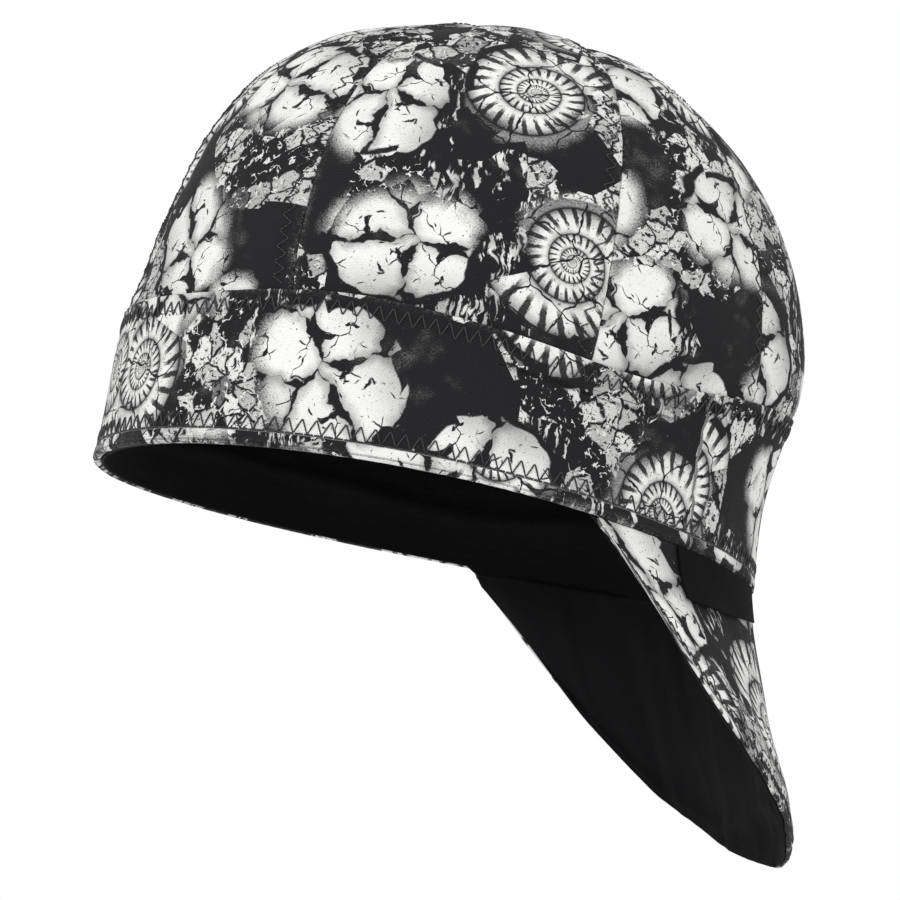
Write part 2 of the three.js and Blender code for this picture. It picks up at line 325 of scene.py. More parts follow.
def pucker(along, distance, seed, reach=7.0, pitch=6.5):
    """Short folds that stitching draws into the cloth beside a seam"""
    along, distance = np.broadcast_arrays(along, distance)
    line = np.stack([along, distance * PUCKER_STRETCH, 0 * along], axis=-1)
    wave = noise(line, pitch * PUCKER_WIDTH, seed) * np.exp(-np.abs(distance) / reach)
    return PUCKER_HEIGHT * wave


def swell(h):
    """0 at the crown's foot and at its apex, 1 halfway between"""
    return np.sin(np.pi * np.clip(h - 1, 0, 1))


def seam_angle(seam, h):
    degrees, lean = seam
    return np.radians(degrees + lean * swell(h))


def crown_length():
    points = cap_surface(math.pi / 2, np.linspace(1, 2, 60))
    return np.linalg.norm(np.diff(points, axis=0), axis=1).sum()


CROWN_LENGTH = crown_length()


class Gore:
    """One gore of the crown, between two seams"""

    def __init__(self, number, side, seams, stitched):
        self.name = f"crown_gore_{number}"
        self.number, self.side = number, side
        self.seams = seams
        self.stitched = stitched

    def angle(self, across, h):
        return self.side * mix(*(seam_angle(seam, h) for seam in self.seams), across)

    def width(self, h):
        span = seam_angle(self.seams[1], h) - seam_angle(self.seams[0], h)
        return speed(cap_surface, self.angle(0.5, h), h) * np.abs(span)

    def relief(self, across, h, place):
        width = self.width(h)
        lengthwise = (h - 1) * CROWN_LENGTH
        puffed = np.sin(np.pi * np.clip(across, 0, 1)) * swell(h)
        nape_share = np.clip(place[..., 1] / HEAD_LENGTH * 2, 0, 1)
        foot = between(h, *FOOT_REACH)
        height = GORE_PUFF * puffed + folds(place, CAP_FOLDS)
        height = height + (FOOT_FULLNESS + FOOT_FULLNESS_NAPE * nape_share) * foot
        fade = smooth_step(width, 1, 14)
        for end in (0, 1):
            distance = np.abs(across - end) * width
            height = height + ridge("crown_seam", distance) * fade
            height = height + pucker(lengthwise, distance, 20 + self.number + end) * fade
            if end in self.stitched:
                allowance = between(distance, *ALLOWANCE_REACH)
                channel = ridge("crown_zigzag", distance - CROWN_ZIGZAG["from_edge"])
                height = height + (SEAM_ALLOWANCE * allowance + channel) * fade
        return height

    def point(self, across, h, depth=0.0):
        """Point of the gore and its outward normal, at a depth in the cloth"""
        t = self.angle(across, h)
        base = cap_surface(t, h)
        normal = normal_of(cap_surface, t, np.minimum(h, LAST_NORMAL))
        lift = self.relief(across, h, base) - BAND_CLOTH - CLEARANCE - depth
        return base + normal * lift[..., None], normal


def make_gores():
    gores = []
    each_side = len(SEAMS) - 1
    for i, seams in enumerate(zip(SEAMS, SEAMS[1:])):
        gores.append(Gore(i + 1, 1, seams, (1,)))
        stitched = (0, 1) if i == 0 else (1,) if i < each_side - 1 else ()
        gores.append(Gore(2 * each_side - i, -1, seams, stitched))
    return sorted(gores, key=lambda gore: gore.number)


def join_angle(rise, full):
    """Where the band's two ends meet, at a rise in millimetres over the rim"""
    return np.radians(mix(*BAND_JOIN, np.clip(rise / full, 0, 1)))


def band_relief(t, rise, place):
    """Height of the band's outer face over its base, rise in millimetres over the rim"""
    around = t * HEAD_LENGTH / 2
    full = band_height(t)
    from_top = full - rise
    from_join = (t - join_angle(rise, full)) * speed(cap_surface, t, 0.5)
    reliefs = (
        folds(place, CAP_FOLDS),
        ridge("band_zigzag", from_top - BAND_TOP_ZIGZAG["from_edge"]),
        ridge("band_zigzag", rise - BAND_RIM_ZIGZAG["from_edge"]),
        ridge("band_binding_seam", rise - BAND_BINDING),
        ridge("band_binding", rise - BAND_BINDING / 2),
        pucker(around, from_top, 41, 6.0, 5.5),
        pucker(around, rise, 43, 6.0, 5.5),
        ridge("band_join", from_join),
        ridge("band_join_ridge", from_join - JOIN_RIDGE_OFFSET),
        pucker(rise, np.abs(from_join), 45),
    )
    return sum(reliefs)


def band_point(t, rise, depth):
    """Point of the band, rise in millimetres over the rim and depth behind its outer face"""
    full = band_height(t)
    base = cap_surface(t, rise / full)
    normal = normal_of(cap_surface, t, np.clip(rise / full, 0.01, 0.99))
    lift = band_relief(t, np.clip(rise, 0, full), cap_surface(t, np.clip(rise / full, 0, 1))) - depth
    return base + normal * lift[..., None], normal


def bill_length(across):
    return np.linalg.norm(bill_surface(across, 1.0) - bill_surface(across, 0.0), axis=-1)


# Half of the way round the bill, in millimetres
BILL_ARC = float(speed(bill_surface, np.array(0.5), np.array(0.3)))


def bill_relief(across, down):
    """Height of the bill's outer face over its base"""
    length = bill_length(across)
    around = across * BILL_ARC
    below = down * length
    from_edge = (1 - down) * length
    fall = np.stack([around, below * 0.22, np.zeros_like(around)], axis=-1)
    loose = smooth_step(below, 2, 26) * mix(0.5, 1.0, smooth_step(from_edge, 1, 14))
    curl = np.clip(1 - from_edge / TIP_CURL_WIDTH, 0, 1) ** 2
    reliefs = (
        folds(fall, BILL_FOLDS) * loose,
        -BILL_NAPE_HOLLOW * bump_at(down - 0.65, 0.2) * bump_at(across, 0.5),
        -TIP_CURL * curl * bump_at(across, 0.4),
        ridge("bill_zigzag", from_edge - BILL_ZIGZAG["from_edge"]),
        ridge("bill_binding_seam", from_edge - BILL_BINDING),
        ridge("bill_binding", from_edge - BILL_BINDING / 2),
        1.2 * pucker(around, from_edge, 53, 6.0, 6.0),
        pucker(around, below, 55, 5.0, 7.0),
    )
    return sum(reliefs)


def bill_point(across, down, depth=0.0):
    base = bill_surface(across, down)
    normal = normal_of(bill_surface, across, np.clip(down, 0.01, 0.99))
    lift = bill_relief(across, np.clip(down, 0, 1)) - depth
    return base + normal * lift[..., None], normal


# Meshes


def new_object(name, vertices, faces, material, cloth=None, wear=None):
    """Mesh object from points in millimetres, with smooth faces, place on the cloth and wear"""
    mesh = bpy.data.meshes.new(name)
    mesh.from_pydata((np.asarray(vertices) * MM).tolist(), [], [list(face) for face in faces])
    mesh.update()
    for key, kind, field, values in (
        ("cloth", "FLOAT_VECTOR", "vector", cloth),
        ("wear", "FLOAT", "value", wear),
    ):
        if values is not None:
            layer = mesh.attributes.new(key, kind, "POINT")
            layer.data.foreach_set(field, np.asarray(values, np.float32).ravel())
    mesh.polygons.foreach_set("use_smooth", [True] * len(mesh.polygons))
    mesh.materials.append(material)
    piece = bpy.data.objects.new(name, mesh)
    bpy.context.scene.collection.objects.link(piece)
    return piece


def grid_faces(rows, columns, close_rows=False):
    """Quads of a grid of points, rows after rows, each row closed to a ring"""
    j, i = np.indices((rows if close_rows else rows - 1, columns))
    up, right = (j + 1) % rows, (i + 1) % columns
    quads = [j * columns + i, j * columns + right, up * columns + right, up * columns + i]
    return np.stack(quads, axis=-1).reshape(-1, 4).tolist()


def flat_cap(first, count, split, flip):
    """Faces that close the end of a loop whose first points, up to split, lie against the others"""
    near, far = list(range(split)), list(range(count - 1, split - 1, -1))
    steps = max(split, count - split) - 1
    faces = []
    for i in range(steps):
        a, b = (round(k / steps * (len(near) - 1)) for k in (i, i + 1))
        c, d = (round(k / steps * (len(far) - 1)) for k in (i, i + 1))
        ring = [first + k for k in dict.fromkeys((near[a], near[b], far[d], far[c]))]
        if len(ring) > 2:
            faces.append(ring[::-1] if flip else ring)
    return faces


def loop_sheet(name, loops, material, cloth, split=None, wear=None):
    """Closed sheet from loops of points, each along one face up to split and back along the other"""
    rows, count = loops.shape[:2]
    faces = grid_faces(rows, count, split is None)
    if split is not None:
        faces += flat_cap(0, count, split, True)
        faces += flat_cap((rows - 1) * count, count, split, False)
    return new_object(name, loops.reshape(-1, 3), faces, material, cloth.reshape(-1, 3), wear)


def edge_depths(thickness, steps):
    """Distances from a rounded edge and depths of the two faces there"""
    radius = thickness / 2
    angle = np.linspace(0, math.pi / 2, steps)
    return radius * (1 - np.cos(angle)), radius * (1 - np.sin(angle))


def edge_round(thickness, steps):
    """Pairs of a distance from a rounded edge and a depth, from one face round to the other"""
    near, depth = edge_depths(thickness, steps)
    distances = np.concatenate([near[::-1], near[1:]])
    return list(zip(distances, np.concatenate([depth[::-1], thickness - depth[1:]])))


def section_grid(section, like):
    """Two grids from a list of pairs, with a column for each pair and rows as like has"""
    return [np.concatenate([value + 0 * like for value in values], axis=1) for values in zip(*section)]


def there_and_back(one, other, back):
    """Points along one face and, picked by a slice, back along the other"""
    return np.concatenate([one, other[:, back]], axis=1)


def flat_measure(points):
    """Width, length and area of one face of a sheet, from its grid of points"""
    across = np.linalg.norm(np.diff(points, axis=1), axis=-1).sum(1).max()
    along = np.linalg.norm(np.diff(points, axis=0), axis=-1).sum(0).max()
    a, b = points[1:, :-1] - points[:-1, :-1], points[:-1, 1:] - points[:-1, :-1]
    area = np.linalg.norm(np.cross(a, b), axis=-1).sum()
    return float(across) * MM, float(along) * MM, float(area) * MM * MM


def declare(sheet, node, stitches=()):
    """Sheet and its stitching put on the body, and the solid it replaces hidden; its flat size is worked
    out but not kept
    """
    piece, (width, length, area) = sheet
    for row in stitches:
        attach(row, BODY)
    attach(piece, BODY)
    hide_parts(node)
    min(max(area, LEAST_FILL * width * length), width * length)


# Where each panel was cut from the printed cloth: a place in millimetres and a turn in degrees
CUTS = {
    "crown_gore_1": (12, 40, 4),
    "crown_gore_2": (151, 96, -6),
    "crown_gore_3": (322, 18, 9),
    "crown_gore_4": (471, 201, 2),
    "crown_gore_5": (91, 366, -4),
    "crown_gore_6": (249, 333, 7),
    "crown_gore_7": (402, 391, -8),
    "crown_gore_8": (563, 316, 3),
    "headband": (650, 1250, 2),
    "band_binding": (1205, 1033, 0),
    "bill": (690, 735, 12),
    "bill_binding": (1440, 780, 0),
}


def cloth_place(cut, sideways, upward):
    """Place on the printed cloth, in millimetres, of a point of a panel"""
    x, y, turn = CUTS[cut]
    c, s = math.cos(math.radians(turn)), math.sin(math.radians(turn))
    sideways, upward = np.broadcast_arrays(sideways, upward)
    return np.stack([x + c * sideways - s * upward, y + s * sideways + c * upward, 0 * upward], axis=-1)


def gore_cloth(gore, material):
    rows, inside, edge_steps = 76, 36, 5
    tuck = 1 - GORE_TUCK / band_height(gore.angle(0.5, np.array(1.0)))
    h = np.concatenate([[float(tuck)], np.linspace(1, LAST_ROW, rows - 1)])[:, None]
    near, depth_near = edge_depths(GORE_CLOTH, edge_steps)
    width = gore.width(h)
    least = np.minimum(1, 0.3 * width / (near[-1] + SEAM_GAP))
    left = (SEAM_GAP / 2 + near) * least
    middle = mix(left[:, -1:], width - left[:, -1:], np.linspace(0, 1, inside + 2)[None, 1:-1])
    across = np.concatenate([left, middle, width - left[:, ::-1]], axis=1) / width
    depths = np.concatenate([depth_near, np.zeros(inside), depth_near[::-1]])[None, :]
    outer, _ = gore.point(across, h, depths)
    inner, _ = gore.point(across, h, GORE_CLOTH - depths)
    sideways = (across - 0.5) * width
    cloth = cloth_place(gore.name, gore.side * sideways, (h - 1) * CROWN_LENGTH)
    wear = bump_at(np.minimum(across, 1 - across) * width, WEAR_WIDTH)
    loops, cloth, wear = (
        there_and_back(one, other, slice(-2, 0, -1))
        for one, other in ((outer, inner), (cloth, cloth), (wear, wear))
    )
    order, split = slice(None), outer.shape[1]
    if gore.side < 0:
        order, split = slice(None, None, -1), loops.shape[1] - split
    name = gore.name + "_cloth"
    piece = loop_sheet(name, loops[:, order], material, cloth[:, order], split, wear[:, order])
    return piece, flat_measure(outer[:, 1:-1])


def band_cloth(material):
    """Band with a rounded top edge, folded at the rim, its hem inside"""
    columns, edge_steps, fold_steps = 560, 5, 9
    t = np.linspace(0, FULL_TURN, columns, endpoint=False)[:, None]
    full = band_height(signed(t))
    hem_outer = BAND_CLOTH + CLEARANCE * 0.3
    hem_inner = hem_outer + BAND_CLOTH
    climb = np.concatenate([[0.7, 2.1, 3.6, 4.1, 4.4, 4.7, 5.4, 6.6, 7.8, 9.0], np.linspace(11, 34, 9)])
    under_top = (9.5, 8, 6.6, 5.2, 4.2, 3.2, 2.2, 1.3)
    bend_top, bend_height, hem_on_cloth = 1.0, 1.1, 2.0
    section = [(rise, 0) for rise in climb]
    section += [(full - from_top, 0) for from_top in under_top]
    section += [(full - near, depth) for near, depth in edge_round(BAND_CLOTH, edge_steps)]
    section += [(full * share, BAND_CLOTH) for share in (0.75, 0.5, 0.25)]
    section += [
        (BAND_CLOTH, BAND_CLOTH),
        (BAND_CLOTH, hem_outer),
        (HEM_HEIGHT - 0.3, hem_outer),
        (HEM_HEIGHT, mix(hem_outer, hem_inner, 0.5)),
        (HEM_HEIGHT - 0.3, hem_inner),
        (1.8, hem_inner),
    ]
    for turn in np.radians(np.linspace(180, 0, fold_steps)):
        low = bend_top - bend_height * math.sin(turn)
        section.append((low, hem_inner / 2 * (1 - math.cos(turn))))
    rise, depth = section_grid(section, full)
    loops, _ = band_point(signed(t) + 0 * rise, rise, depth)
    around = arc_round(t)[:, None]
    around = np.where(t > join_angle(rise, full), around - arc_round(FULL_TURN), around)
    folded = np.where(depth > BAND_CLOTH, -rise - hem_on_cloth, rise)
    cloth, binding = (cloth_place(cut, around, folded) for cut in ("headband", "band_binding"))
    cloth = np.where((folded < BAND_BINDING)[..., None], binding, cloth)
    wear = np.maximum(bump_at(rise, WEAR_WIDTH), bump_at(full - rise, 1.0))
    back = slice(None, None, -1)
    piece = loop_sheet("headband_cloth", loops[:, back], material, cloth[:, back], None, wear[:, back])
    face = loops[:, : len(climb) + len(under_top)]
    return piece, flat_measure(np.concatenate([face, face[:1]], axis=0))


def arc_round(t):
    """Millimetres round the band from the brow to each angle"""
    dense = np.linspace(0, FULL_TURN, ROUND_SAMPLES)
    return np.interp(np.ravel(t), dense, path_length(cap_surface(dense, 0.5)))


def angle_round(along):
    """Angles of places given in millimetres round the band"""
    dense = np.linspace(0, FULL_TURN, ROUND_SAMPLES)
    return signed(np.interp(along, arc_round(dense), dense))


def lining_cloth(material):
    """Lining of crown and band in one shell, its edge held in the hem"""
    columns, rows = 300, 84
    turns = np.linspace(0, FULL_TURN, columns, endpoint=False)
    t = signed(turns[None, :])
    over_bill = smooth_step(np.degrees(np.abs(t)), BILL_CORNER - 1.5, BILL_CORNER + 1)
    rim_start = mix(LINING_RISE, LINING_BELOW, over_bill) / band_height(t)
    share = np.linspace(0, 1, rows)[:, None] ** 1.08
    h = mix(rim_start, LAST_ROW, share)
    base = cap_surface(t, h)
    normal = normal_of(cap_surface, t, np.clip(h, 0.01, LAST_NORMAL))
    hem_depth = 2 * BAND_CLOTH + CLEARANCE
    crown_depth = BAND_CLOTH + GORE_CLOTH + 2 * CLEARANCE
    held = smooth_step(h, 0.1, 0.4)
    mean_sag, crease_height, above_crease = 0.8, 0.36, 0.13
    sag = mean_sag + 1.2 * noise(base * (1, 1, 0.45), 24, 61) + 0.6 * noise(base * (1, 1, 0.6), 10, 62)
    crease = h - crease_height - 0.1 * noise(base * (1, 1, 0), 38, 63)
    sag = sag + 1.3 * bump_at(crease, 0.07) - 0.6 * bump_at(crease - above_crease, 0.08)
    sag = np.maximum(sag, 0) * held * smooth_step(share, 1, 0.9)
    depth = mix(hem_depth, crown_depth, smooth_step(h, 0.4, 0.85)) + sag - folds(base, CAP_FOLDS)
    puff = GORE_PUFF * swell(h) * 0.3
    outer = base - normal * (depth - puff)[..., None]
    inner = base - normal * (depth - puff + LINING_CLOTH * 0.8)[..., None]
    points = np.concatenate([inner[::-1], outer], axis=0)
    faces = grid_faces(2 * rows, columns)
    # Two apex points close the shell's inner and outer face
    count, last = 2 * rows * columns, (2 * rows - 1) * columns
    for k in range(columns):
        beside = (k + 1) % columns
        faces += [[beside, k, count], [last + k, last + beside, count + 1]]
    apexes = np.stack([points[0].mean(axis=0), points[-1].mean(axis=0)])
    lengthwise = np.concatenate([h[::-1], h], axis=0) * CROWN_LENGTH
    cloth = np.stack([arc_round(turns) + 0 * lengthwise, lengthwise, 0 * lengthwise], axis=-1)
    cloth = np.concatenate([cloth.reshape(-1, 3), cloth[(0, -1), 0]], axis=0)
    points = np.concatenate([points.reshape(-1, 3), apexes], axis=0)
    piece = new_object("cap_lining_cloth", points, faces, material, cloth)
    return piece, flat_measure(np.concatenate([inner, inner[:, :1]], axis=1))


def bill_places(columns):
    """Places across the bill, closer together towards its corners"""
    even = np.linspace(1, -1, columns)
    return np.sign(even) * (1 - (1 - np.abs(even)) ** 1.15)


def corner_flatness(across):
    """Share of its thickness that the bill has left where the seam presses its corners"""
    return mix(0.5, 1.0, smooth_step(np.abs(across), 1, 0.93))


def bill_cloth(material):
    """Printed face of the bill, its edge turned in"""
    columns, rows, edge_steps = 250, 44, 5
    across = bill_places(columns)[:, None]
    length = bill_length(across)
    whole = 1 - BILL_CLOTH / 2 / length
    section = [(share * whole, 0) for share in np.linspace(0, 1, rows)]
    section += [(1 - near / length, depth) for near, depth in edge_round(BILL_CLOTH, edge_steps)[1:]]
    section += [(share * whole, BILL_CLOTH) for share in np.linspace(0.9, 0, 10)]
    down, depth = section_grid(section, length)
    wide = across + 0 * down
    # At its two corners the shell is as thick as shell and lining, and hides the lining's end
    walled = smooth_step(np.abs(wide), BILL_LINING_REACH + 0.002, 1)
    stack = BILL_CLOTH + CLEARANCE + LINING_CLOTH
    walled_depth = mix(depth, depth * stack / BILL_CLOTH, walled)
    loops, _ = bill_point(wide, down, walled_depth * corner_flatness(wide))
    folded = np.where(depth > BILL_CLOTH / 2, 2 - down, down)
    from_edge = (1 - folded) * length
    cloth = cloth_place("bill", wide * BILL_ARC, -folded * length)
    binding = cloth_place("bill_binding", wide * BILL_ARC, from_edge)
    cloth = np.where((from_edge < BILL_BINDING)[..., None], binding, cloth)
    wear = bump_at((1 - down) * length, WEAR_WIDTH)
    piece = loop_sheet("bill_shell_cloth", loops, material, cloth, rows + edge_steps - 1, wear)
    return piece, flat_measure(loops[:, :rows])


def bill_lining_cloth(material):
    """Slack lining of the bill, folded a little above the tip"""
    columns, rows = 240, 44
    across = bill_places(columns)[:, None] * BILL_LINING_REACH
    length = bill_length(across)
    share = np.linspace(0, 1, rows)[None, :]
    down = share * (1 - BILL_LINING_SHORT / length)
    wide = across + 0 * down
    around, below = wide * BILL_ARC, down * length
    place = np.stack([around + 0.12 * below, below * 0.16, 0 * down], axis=-1)
    tip_fold = below - TIP_FOLD - 0.25 * np.abs(around)
    slack = folds(place, BILL_LINING_FOLDS)
    slack = slack + 1.2 * bump_at(tip_fold, 3.5) * smooth_step(np.abs(wide), 0.6, 0.3)
    slack = np.maximum(slack, 0) * smooth_step(share, 1, 0.86) * smooth_step(share, 0, 0.2)
    flatness = corner_flatness(wide)
    start = BILL_CLOTH + CLEARANCE
    outer, _ = bill_point(wide, down, start * flatness)
    inner, _ = bill_point(wide, down, (start + LINING_CLOTH + slack) * flatness)
    back = slice(None, None, -1)
    loops = there_and_back(outer, inner, back)
    cloth = np.stack([around, -below, 0 * down], axis=-1)
    cloth = there_and_back(cloth, cloth, back)
    piece = loop_sheet("bill_lining_cloth", loops, material, cloth, rows)
    return piece, flat_measure(outer)


def label_cloth(material):
    """Plain woven label, sewn in aslant, so more of its end towards the brow shows"""
    columns, rows, edge_steps = 90, 22, 4
    start = (180 - LABEL_START) / (180 - BILL_CORNER)
    probe = 0.1
    reach = np.linalg.norm(bill_surface(start, 0.0) - bill_surface(start - probe, 0.0)) / probe
    end = start - LABEL_WIDTH / reach
    across = np.linspace(start, end, columns)[:, None]
    near, depth_near = (values[::-1] for values in edge_depths(LABEL_CLOTH, edge_steps))
    low = LABEL_HEIGHT - near
    below = np.concatenate([np.linspace(0.1, low[0], rows), low[1:]])[None, :]
    thin = np.concatenate([np.zeros(rows), depth_near[1:]])
    sideways = (across - end) / (start - end)
    below = below * mix(LABEL_FAR_HEIGHT, LABEL_NEAR_HEIGHT, sideways) / LABEL_HEIGHT
    down = below / bill_length(across)
    hanging = below / LABEL_HEIGHT
    wide = across + hanging * LABEL_SLANT / reach
    wave_height, waves, sewn_width = 0.12, 3.2, 1.6
    wave = wave_height * hanging * np.sin(np.pi * waves * sideways + 0.6)
    ends = sum(bump_at(share * LABEL_WIDTH, sewn_width) for share in (sideways, 1 - sideways))
    lift = CLEARANCE + 0.3 * hanging**2 + wave + 0.15 * ends
    outer, _ = bill_point(wide, down, -(lift + LABEL_CLOTH) + thin[None, :])
    inner, _ = bill_point(wide, down, -lift - thin[None, :])
    back = slice(-2, None, -1)
    loops = there_and_back(outer, inner, back)
    cloth = np.stack([sideways * LABEL_WIDTH + 0 * down, -below, 0 * down], axis=-1)
    cloth = there_and_back(cloth, cloth, back)
    piece = loop_sheet("woven_label_cloth", loops, material, cloth, thin.size)
    return piece, flat_measure(outer)


# Stitches


def zigzag_places(total, stitch):
    """Places along a seam and sideways of it where the needle went in"""
    legs = 2 * stitch["steps"]
    cycles = max(1, round(total / stitch["pitch"]))
    count = cycles * legs
    along = np.linspace(0, total, count + 1)
    phase = np.arange(count + 1) % legs / stitch["steps"]
    sideways = np.where(phase <= 1, phase, 2 - phase) - 0.5
    return along, sideways * stitch["width"]


def thread_object(name, points, normals, material):
    """Short arcs of thread from each point to the next"""
    sides, leg_on_cloth = 6, 3.0
    share = np.array([0, 0.12, 0.5, 0.88, 1])
    height = np.array([-0.3, 0.1, 0.24, 0.1, -0.3])
    start, end = points[:-1], points[1:]
    normal = unit(normals[:-1] + normals[1:])
    middle = mix(start[:, None], end[:, None], share[:, None]) + normal[:, None] * height[:, None]
    sideways = np.cross(normal, unit(end - start))
    angle = np.linspace(0, FULL_TURN, sides, endpoint=False)
    c, s = np.cos(angle)[:, None], np.sin(angle)[:, None]
    ring = normal[:, None] * c + sideways[:, None] * s
    vertices = middle[:, :, None] + ring[:, None] * THREAD_RADIUS
    legs, bends = vertices.shape[:2]
    tube = grid_faces(bends, sides)
    ends = [list(range(sides))[::-1], list(range((bends - 1) * sides, bends * sides))]
    faces = []
    for leg in range(legs):
        first = leg * bends * sides
        faces += [[first + k for k in face[::-1]] for face in tube + ends]
    along = np.broadcast_to(np.arange(legs)[:, None, None] + share[:, None], vertices.shape[:3])
    turn = np.broadcast_to(angle / FULL_TURN, vertices.shape[:3])
    cloth = np.stack([along * leg_on_cloth, turn, 0 * turn], axis=-1)
    return new_object(name, vertices.reshape(-1, 3), faces, material, cloth.reshape(-1, 3))


def crown_stitches(gore, end, material):
    """Zigzag beside one seam of a gore, from the band almost to the apex"""
    foot, top, widest = 1.012, 1.965, 0.45
    along, sideways = zigzag_places((top - foot) * CROWN_LENGTH, CROWN_ZIGZAG)
    h = foot + along / CROWN_LENGTH
    width = gore.width(h)
    inward = np.minimum(CROWN_ZIGZAG["from_edge"] + sideways, width * widest)
    across = inward / width if end == 0 else 1 - inward / width
    points, normals = gore.point(across, h)
    name = f"{gore.name}_stitches" if end == 1 else f"{gore.name}_front_stitches"
    return thread_object(name, points, normals, material)


def ring_stitches(name, stitch, from_top, material):
    """Zigzag all round the band, near its top edge or near the rim"""
    along, sideways = zigzag_places(arc_round(FULL_TURN)[0], stitch)
    t = angle_round(along)
    middle = band_height(t) - stitch["from_edge"] if from_top else stitch["from_edge"]
    points, normals = band_point(t, middle + sideways, 0 * t)
    return thread_object(name, points, normals, material)


def straight_ring(name, rise, length_each, material):
    """Straight row of stitches all round the band"""
    total = arc_round(FULL_TURN)[0]
    t = angle_round(np.linspace(0, total, round(total / length_each) + 1))
    points, normals = band_point(t, rise + 0 * t, 0 * t)
    return thread_object(name, points, normals, material)


def bill_stitches(name, stitch, material):
    """Zigzag along the bill's free edge"""
    corner, samples, highest, highest_point = 0.985, 1200, 0.45, 0.6
    dense = np.linspace(-corner, corner, samples)
    down = 1 - np.minimum(stitch["from_edge"] / bill_length(dense), highest)
    length = path_length(bill_point(dense, down)[0])
    along, sideways = zigzag_places(length[-1], stitch)
    across = np.interp(along, length, dense)
    inward = np.minimum((stitch["from_edge"] + sideways) / bill_length(across), highest_point)
    points, normals = bill_point(across, 1 - inward)
    return thread_object(name, points, normals, material)


# Materials


class Wire:
    """Output of a node, used like a number in expressions"""

    def __init__(self, net, socket):
        self.net, self.socket = net, socket

    def __add__(self, other):
        return self.net.math("ADD", self, other)

    def __sub__(self, other):
        return self.net.math("SUBTRACT", self, other)

    def __rsub__(self, other):
        return self.net.math("SUBTRACT", other, self)

    def __mul__(self, other):
        return self.net.math("MULTIPLY", self, other)

    def __truediv__(self, other):
        return self.net.math("DIVIDE", self, other)

    def __abs__(self):
        return self.net.math("ABSOLUTE", self)


class Net:
    """Nodes of one material"""

    def __init__(self, name):
        self.material = bpy.data.materials.new(name)
        self.material.use_nodes = True
        self.tree = self.material.node_tree

    def put(self, socket, value):
        if isinstance(value, Wire):
            self.tree.links.new(value.socket, socket)
        elif value is not None:
            socket.default_value = value

    def node(self, kind, inputs, out=0, **settings):
        """One output of a new node, or a list of them where out names several"""
        made = self.tree.nodes.new("ShaderNode" + kind)
        for key, value in settings.items():
            setattr(made, key, value)
        for key, value in inputs.items():
            self.put(made.inputs[key], value)
        wires = [Wire(self, made.outputs[key]) for key in (out if isinstance(out, tuple) else (out,))]
        return wires if isinstance(out, tuple) else wires[0]

    def surface(self, colours, share, rough, normal=None, specular=None, sheen=None, sheen_rough=None):
        """The material: a mix of two colours by share, and plain numbers on the shader's own sockets"""
        values = {
            "Base Color": self.mix(*colours, share, "RGBA"),
            "Roughness": rough,
            "Normal": normal,
            "Specular IOR Level": specular,
            "Sheen Weight": sheen,
            "Sheen Roughness": sheen_rough,
        }
        for name, value in values.items():
            self.put(self.tree.nodes["Principled BSDF"].inputs[name], value)
        return self.material

    def math(self, operation, a, b=None):
        return self.node("Math", {0: a, 1: b}, operation=operation)

    def highest(self, *values):
        result = values[0]
        for value in values[1:]:
            result = self.math("MAXIMUM", result, value)
        return result

    def vector(self, operation, a, b):
        return self.node("VectorMath", {0: a, 1: b}, operation=operation)

    def scaled(self, place, scale):
        return self.node("VectorMath", {0: place, "Scale": scale}, operation="SCALE")

    def length(self, place):
        return self.node("VectorMath", {0: place}, "Value", operation="LENGTH")

    def parts(self, place):
        return self.node("SeparateXYZ", {0: place}, ("X", "Y", "Z"))

    def step(self, value, low, high, to_low=0.0, to_high=1.0):
        """Smooth way from to_low, where the value is low, to to_high, where it is high"""
        inputs = {"Value": value, "From Min": low, "From Max": high, "To Min": to_low, "To Max": to_high}
        return self.node("MapRange", inputs, interpolation_type="SMOOTHSTEP")

    def mix(self, a, b, share, kind="FLOAT"):
        return self.node("Mix", {"Factor": share, "A": a, "B": b}, "Result", data_type=kind)

    def noise(self, place, size, detail=2.0, roughness=0.5, out="Fac"):
        inputs = {"Vector": place, "Scale": 1 / size, "Detail": detail, "Roughness": roughness}
        return self.node("TexNoise", inputs, out, noise_dimensions="3D")

    def cells(self, place, size, randomness=1.0, metric="EUCLIDEAN"):
        """Three random numbers for each of many uneven cells, and the cell's middle"""
        inputs = {"Vector": place, "Scale": 1 / size, "Randomness": randomness}
        settings = {"voronoi_dimensions": "2D", "feature": "F1", "distance": metric}
        colour, middle = self.node("TexVoronoi", inputs, ("Color", "Position"), **settings)
        return self.node("SeparateColor", {0: colour}, (0, 1, 2)), middle

    def cell_edges(self, place, size):
        """Distance from the edges of the same cells"""
        inputs = {"Vector": place, "Scale": 1 / size}
        settings = {"voronoi_dimensions": "2D", "feature": "DISTANCE_TO_EDGE"}
        return self.node("TexVoronoi", inputs, **settings)

    def warp(self, place, size, reach):
        """The place moved about by noise, by up to half of reach"""
        moved = self.vector("SUBTRACT", self.noise(place, size, out="Color"), (0.5, 0.5, 0.5))
        return self.vector("ADD", place, self.scaled(moved, reach))

    def attribute(self, name):
        """Vector and number of an attribute of the mesh"""
        return self.node("Attribute", {}, ("Vector", "Fac"), attribute_name=name)

    def weave(self, cloth, pitch):
        """Height of a plain weave, 0 to 1"""
        moved = self.warp(cloth, 3.0, 0.12)
        x, y, _ = self.parts(self.scaled(moved, math.pi / pitch))
        rows = self.math("SINE", y)
        return self.math("SINE", x) * rows * 0.32 + abs(rows) * 0.5 + 0.25

    def bump(self, height, distance, strength, normal=None):
        inputs = {"Height": height, "Distance": distance, "Strength": strength, "Normal": normal}
        return self.node("Bump", inputs)


def shades(colour, times):
    """The colour, and one that many times lighter"""
    return colour, tuple(times * channel for channel in colour[:3]) + (1,)


